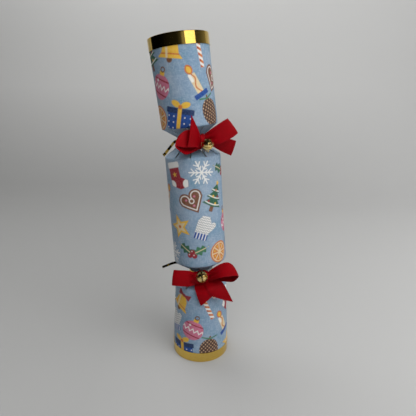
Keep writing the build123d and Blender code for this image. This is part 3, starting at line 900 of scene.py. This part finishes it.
# Edges of the loops and tails in a bow's own axes: right, out from the neck and up, in millimetres
lower_loops = [
    ([(-5.5, 21.0, -6.0), (-12.8, 24.8, -6.4), (-22.8, 27.0, -4.6), (-28.6, 26.0, -4.2),
      (-23.8, 23.2, -5.2), (-13.5, 19.6, -6.8), (-5.5, 17.2, -6.0)],
     [(-5.5, 20.5, 5.5), (-13.5, 24.4, 9.6), (-22.5, 26.0, 11.0), (-26.8, 25.0, 11.0),
      (-22.8, 22.8, 9.8), (-13.5, 20.6, 7.4), (-5.5, 17.8, 4.2)]),
    ([(4.6, 21.3, 6.0), (14.7, 22.8, 14.0), (23.0, 24.2, 17.4), (29.4, 23.1, 13.5),
      (26.9, 17.4, 10.3), (16.5, 16.4, 7.9), (4.8, 17.3, 4.1)],
     [(4.6, 22.3, -3.4), (15.0, 35.3, 7.0), (24.7, 38.0, 9.9), (32.5, 36.8, 9.2),
      (28.6, 29.5, -0.1), (18.6, 26.0, -1.3), (4.9, 18.3, -5.4)]),
]
lower_tails = [
    ([(-3.0, 14.0, -1.0), (-7.0, 20.5, -7.6), (-5.8, 28.0, -12.4), (-1.5, 29.6, -24.4)],
     [(2.0, 14.0, 0.0), (4.4, 21.2, -5.4), (7.4, 28.6, -8.4), (11.2, 29.8, -12.4)]),
    ([(-1.0, 15.0, -1.0), (1.8, 22.0, -5.6), (4.8, 29.6, -7.8), (7.8, 30.8, -13.6)],
     [(3.0, 15.0, 1.5), (13.2, 20.7, 1.2), (19.0, 26.0, -2.3), (24.0, 29.4, -10.4), (28.9, 30.4, -20.5)]),
]
upper_loops = [
    ([(-3.5, 23.0, -3.8), (-12.2, 26.2, -3.2), (-20.5, 27.2, -2.2), (-28.4, 27.6, -0.4),
      (-20.0, 26.4, -8.0), (-11.9, 24.6, -7.8), (-3.4, 22.0, -5.7)],
     [(-1.8, 21.9, 6.0), (-9.1, 24.6, 10.4), (-17.1, 25.6, 11.4), (-23.8, 24.2, 6.6),
      (-17.5, 16.3, 4.3), (-9.1, 16.7, 5.2), (-1.3, 18.0, 4.8)]),
    ([(2.4, 23.0, 6.8), (8.7, 27.6, 11.7), (16.0, 30.8, 16.4), (20.8, 31.0, 18.4),
      (17.7, 26.4, 15.8), (11.0, 22.0, 11.2), (4.3, 20.1, 6.6)],
     [(3.4, 25.0, -2.6), (10.4, 32.0, -2.2), (20.8, 36.4, 2.0), (26.8, 37.2, 5.8),
      (22.6, 31.2, 1.6), (13.8, 26.1, -2.0), (4.8, 22.6, -3.0)]),
]
upper_tails = [
    ([(0.0, 19.6, -4.0), (-5.4, 25.2, -4.0), (-11.0, 28.6, -3.0), (-18.0, 29.8, -2.0)],
     [(0.0, 19.6, 4.5), (-3.0, 24.4, 6.8), (-7.6, 28.4, 14.0), (-12.6, 30.2, 23.2)]),
    ([(2.9, 15.5, 3.7), (13.0, 21.5, 3.4), (23.7, 24.4, 0.8), (31.5, 26.0, -2.0)],
     [(2.0, 15.5, -3.9), (8.6, 21.4, -4.6), (17.4, 22.2, -10.0), (27.4, 22.8, -15.2)]),
]
lower_knot = {"heading": -7.0, "middle": -1.2, "lift": 0.9, "tall": 12.8, "deep": 9.6, "wide": 14.6}
upper_knot = {"heading": -12.0, "middle": 0.0, "lift": 0.2, "tall": 11.4, "deep": 8.8, "wide": 11.6}
ribbon_bow("lower", lower_bow_spot, lower_loops, lower_tails, lower_knot)
ribbon_bow("upper", upper_bow_spot, upper_loops, upper_tails, upper_knot)

# Ties: the path of each free end, out from the axis and up along its heading
lower_tie_path = [(11.0, 0, 0), (16.0, 0, 0.6), (27.0, 0, 2.8), (43.0, 0, -4.9)]
upper_tie_path = [(11.0, 0, 0.2), (14.0, 0, 0.0), (18.5, 0, -1.4), (29.0, 0, -11.6), (31.6, 0, -13.6)]
foil_tie("lower", lower_bow_spot, path=lower_tie_path, heading=157.0, twist=108.0, swell=0.0)
foil_tie("upper", upper_bow_spot, path=upper_tie_path, heading=128.0, twist=94.0, swell=0.9)


# Snap: two card strips that bend in the necks, each in a handle leg and a barrel leg
def snap_leg(strip, part, spot, side, reach, inset=0.0):
    """A leg of a snap strip: flat at the waist, out along the neck and up the tube's back to its reach."""
    wall = snap_wall - inset
    route = [(0, snap_waist, 1.0), (0, snap_waist, 2.5), (0, snap_waist + 3.6, 6.0), (0, wall - 3.4, 11.4),
             (0, wall - 0.3, 15.0), (0, wall, 22.0), (0, wall, (22.0 + reach) / 2), (0, wall, reach)]
    middle = edge_curve(route, leg_rows)[:, None, :]
    across = np.linspace(-side, side, leg_columns)[None, :, None] * snap_width / 2 * np.array([1.0, 0.0, 0.0])
    points = (middle + across) * np.array([1.0, 1.0, side])
    card, quads = sheet_faces(placed(points, spot), snap_card)
    piece = make_piece(f"snap_{strip}_{part}_leg", card, quads, grey_card)
    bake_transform(piece)
    stands_for(f"snap_{strip}_strip")


snap_leg("lower", "handle", lower_waist, -1, handle_reach)
snap_leg("lower", "barrel", barrel_foot, 1, barrel_reach)
snap_leg("upper", "barrel", upper_waist, -1, barrel_reach, inset=snap_layer)
snap_leg("upper", "handle", upper_handle, 1, handle_reach)

# Finishes of the pieces that keep their drawn shape
kept = {"barrel_liner": white_card, "snap_sleeve": kraft_paper, "snap_charge": dry_charge,
        "spinning_top": beech_wood, "paper_crown": tissue_paper, "motto_slip": white_paper}
for part, finish in [("handle_liner", white_card), ("waist_collar", white_card), ("bell_staple", steel_wire),
                     ("bell_pellet", steel_wire), ("bell_shank", bell_brass), ("bell_crown", bell_brass),
                     ("bell_bowl", bell_brass)]:
    kept["lower_" + part] = finish
    kept["upper_" + part] = finish
for node, finish in kept.items():
    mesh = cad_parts[node].data
    mesh.materials.clear()
    mesh.materials.append(finish)

# Studio: a pale sweep with painted light that fades into the background, three soft boxes and a glowing drape
# of painted reflection for the mirrors
sweep_rows, sweep_columns = 60, 9
sweep_front, sweep_back = -2800, 600
sweep_bend = 500
sweep_rise = 2200
sweep_half = 2800
drape_reach = 2300
drape_rows, drape_columns = 24, 124


def sweep_finish():
    """Pale sweep with painted light: greyer low down, paler upwards and to the right as painted light, and
    far off black but glowing with the background grey, so that it fades into the background.
    """
    finish, tree, shader = new_finish("pale_sweep", Roughness=0.7, Specular_IOR_Level=0.2,
                                      Emission_Strength=1.0)
    place = object_place(tree)
    split = add_node(tree, "ShaderNodeSeparateXYZ", {0: place})
    far = add_node(tree, "ShaderNodeVectorMath", {0: place}, operation="LENGTH")
    # Painted light: the sweep's colour pales with height and towards the right.
    tone = ramp(tree, split.outputs["Z"], [(0.02, (0.355, 0.355, 0.35)), (0.3, (0.62, 0.62, 0.61)),
                                           (1.0, (0.90, 0.90, 0.89))])
    right = spread(tree, split.outputs["X"], 0.0, 0.75, start=-0.1, end=0.9)
    pale = mixed(tree, right, tone, (0.80, 0.80, 0.79, 1))
    fade = spread(tree, far.outputs["Value"], 0.0, 1.0, start=1.55, end=2.4, curve="SMOOTHSTEP")
    # Painted glow: far off the sweep turns black and glows with the background grey in place of being lit.
    tree.links.new(mixed(tree, fade, pale, black), shader.inputs["Base Color"])
    tree.links.new(mixed(tree, fade, black, background_grey), shader.inputs["Emission Color"])
    bump(tree, shader, noise(tree, place, 900.0, 2.0), 0.1, 0.0002)
    return finish


def pale_sweep():
    """The sweep: a level floor for half its run, a quarter round, and a straight rise behind."""
    along = np.linspace(0, 1, sweep_rows)
    turn = np.clip((along - 0.5) / 0.25, 0, 1) * math.pi / 2
    level = sweep_front + along * 2 * (sweep_back - sweep_front)
    depth = np.where(along < 0.5, level, sweep_back + sweep_bend * np.sin(turn))
    rise = np.where(along < 0.5, 0, sweep_bend * (1 - np.cos(turn)))
    rise = rise + np.clip((along - 0.75) / 0.25, 0, 1) * sweep_rise
    wide = np.linspace(-sweep_half, sweep_half, sweep_columns)
    points = np.stack(np.broadcast_arrays(wide[None, :], depth[:, None], rise[:, None]), -1)
    make_piece("pale_sweep", points, grid_quads(sweep_rows, sweep_columns), sweep_finish())


def painted_reflection_drape():
    """A drape round the front that only mirrors show, a painted reflection: part of a ball that glows, dark
    on the left, paler at the window.

    Its glow is read from a run of (degrees, level) pairs, and falls off upwards.
    """
    finish, tree, shader = new_finish("painted_reflection_drape", Base_Color=black, Roughness=1.0, Specular_IOR_Level=0.0,
                                      Emission_Strength=1.0)
    glow = add_node(tree, "ShaderNodeAttribute", attribute_name="print_ink_and_drape_glow")
    tree.links.new(glow.outputs["Color"], shader.inputs["Emission Color"])
    # Painted reflection: the drape glows by these levels, dark on the left and bright towards the window, and
    # only mirrors see it.
    levels = [(-116, 0.0), (-60, 0.001), (-34, 0.007), (-4, 0.012), (9, 0.05), (16, 0.3), (70, 0.06),
              (90, 0.10), (130, 0.32)]
    degrees, glows = zip(*levels)
    azimuth = np.radians(np.linspace(degrees[0], degrees[-1], drape_columns))[None, :]
    rise = np.radians(np.linspace(-4, 88, drape_rows))[:, None]
    points = drape_reach * round_points(azimuth, np.cos(rise), np.sin(rise))
    level = np.interp(np.degrees(azimuth), degrees, glows) * np.clip(1.5 - np.degrees(rise) / 30, 0.02, 1)
    drape = make_piece("painted_reflection_drape", points, grid_quads(drape_rows, drape_columns), finish,
                       colours=np.repeat(level[..., None], 4, -1))
    drape.visible_camera = False
    drape.visible_diffuse = False
    drape.visible_shadow = False


def soft_box(name, place, aim, size, power, mirrored=False):
    """A rectangular lamp at a place, aimed at a point, in metres and watts; mirrors may show it or not."""
    lamp = bpy.data.lights.new(name, "AREA")
    lamp.shape = "RECTANGLE"
    lamp.size, lamp.size_y = size
    lamp.energy = power
    box = bpy.data.objects.new(name, lamp)
    bpy.context.scene.collection.objects.link(box)
    away = np.array(place) - np.array(aim)
    flat = math.hypot(away[0], away[1])
    box.location = place
    box.rotation_euler = (math.atan2(flat, away[2]), 0, math.atan2(away[0], -away[1]))
    box.visible_glossy = mirrored


pale_sweep()
soft_box("overhead_box", (0.3, -0.55, 1.1), (0, 0, 0.15), (1.5, 1.1), 16.0)
soft_box("window_box", (1.05, -1.05, 0.8), (0, 0, 0.3), (1.15, 1.3), 7.6, mirrored=True)
soft_box("rear_box", (-0.45, 0.5, 1.3), (0, 0, 0.15), (0.8, 0.8), 5.5)
painted_reflection_drape()

# World: an even grey to the eye, in mirrors and in glass; to soft surfaces a room that is dark in front
world = bpy.data.worlds.new("studio")
world.use_nodes = True
bpy.context.scene.world = world
sky = world.node_tree
sky_way = add_node(sky, "ShaderNodeTexCoord")
sky_split = add_node(sky, "ShaderNodeSeparateXYZ", {0: sky_way.outputs["Generated"]})
room_tone = ramp(sky, sky_split.outputs["Y"], [(0.0, (0.003, 0.003, 0.003)), (0.6, (0.5, 0.5, 0.5))])
ray = add_node(sky, "ShaderNodeLightPath").outputs
seen = worked(sky, "MAXIMUM", ray["Is Camera Ray"], ray["Is Glossy Ray"])
seen = worked(sky, "MAXIMUM", seen, ray["Is Transmission Ray"])
sky.links.new(mixed(sky, seen, room_tone, background_grey), sky.nodes["Background"].inputs["Color"])

# Camera at the photograph's angle
camera_place = (0.0, -0.3474, 0.2487)
camera_heading = -1.04
camera_pitch = 15.61
camera_roll = 0.64
lens = bpy.data.cameras.new("camera")
lens.sensor_width = 36.0
lens.lens = 32.5
lens.clip_start = 0.01
camera = bpy.data.objects.new("camera", lens)
bpy.context.scene.collection.objects.link(camera)
camera.location = camera_place
aim = turn_about(Z_AXIS, camera_heading) @ turn_about(X_AXIS, 90 - camera_pitch)
aim = aim @ turn_about(Z_AXIS, camera_roll)
camera.rotation_euler = Matrix(aim.tolist()).to_euler()
bpy.context.scene.camera = camera

bpy.context.scene.view_settings.view_transform = "Standard"
